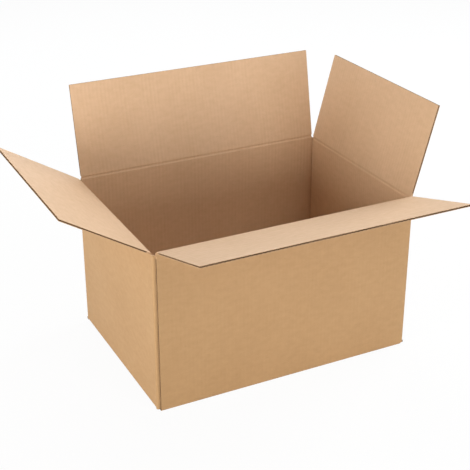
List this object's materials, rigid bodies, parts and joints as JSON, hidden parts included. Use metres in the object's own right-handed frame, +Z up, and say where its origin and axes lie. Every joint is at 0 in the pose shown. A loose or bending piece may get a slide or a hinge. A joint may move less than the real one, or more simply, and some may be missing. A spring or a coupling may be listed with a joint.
{
  "type": "open corrugated cardboard box",
  "caption": "Open slotted carton of brown corrugated board with hinged top flaps and a closed bottom, glued at one upright corner.",
  "frame": {"origin": "centre of the base, on the surface the box stands on", "axes": "+X along the long walls towards the right end, +Y towards the back wall, +Z up out of the opening"},
  "size_m": [0.6027, 0.478, 0.4101],
  "materials": {
    "kraft_board": "matt brown kraft paper"
  },
  "bodies": {
    "box": {"carton_body": "kraft_board"},
    "front_flap": {"flap_front": "kraft_board"},
    "back_flap": {"flap_back": "kraft_board"},
    "left_flap": {"flap_left": "kraft_board"},
    "right_flap": {"flap_right": "kraft_board"}
  },
  "joints": [
    {"name": "front_crease", "type": "hinge", "parent": "box", "child": "front_flap", "pos_m": [0, -0.153, 0.2623], "axis": [1, 0, 0], "range_deg": [-163, 92]},
    {"name": "back_crease", "type": "hinge", "parent": "box", "child": "back_flap", "pos_m": [0, 0.153, 0.2623], "axis": [-1, 0, 0], "range_deg": [-101, 154]},
    {"name": "left_crease", "type": "hinge", "parent": "box", "child": "left_flap", "pos_m": [-0.218, 0, 0.259], "axis": [0, -1, 0], "range_deg": [-148.5, 106.5]},
    {"name": "right_crease", "type": "hinge", "parent": "box", "child": "right_flap", "pos_m": [0.218, 0, 0.259], "axis": [0, 1, 0], "range_deg": [-105, 150]}
  ]
}
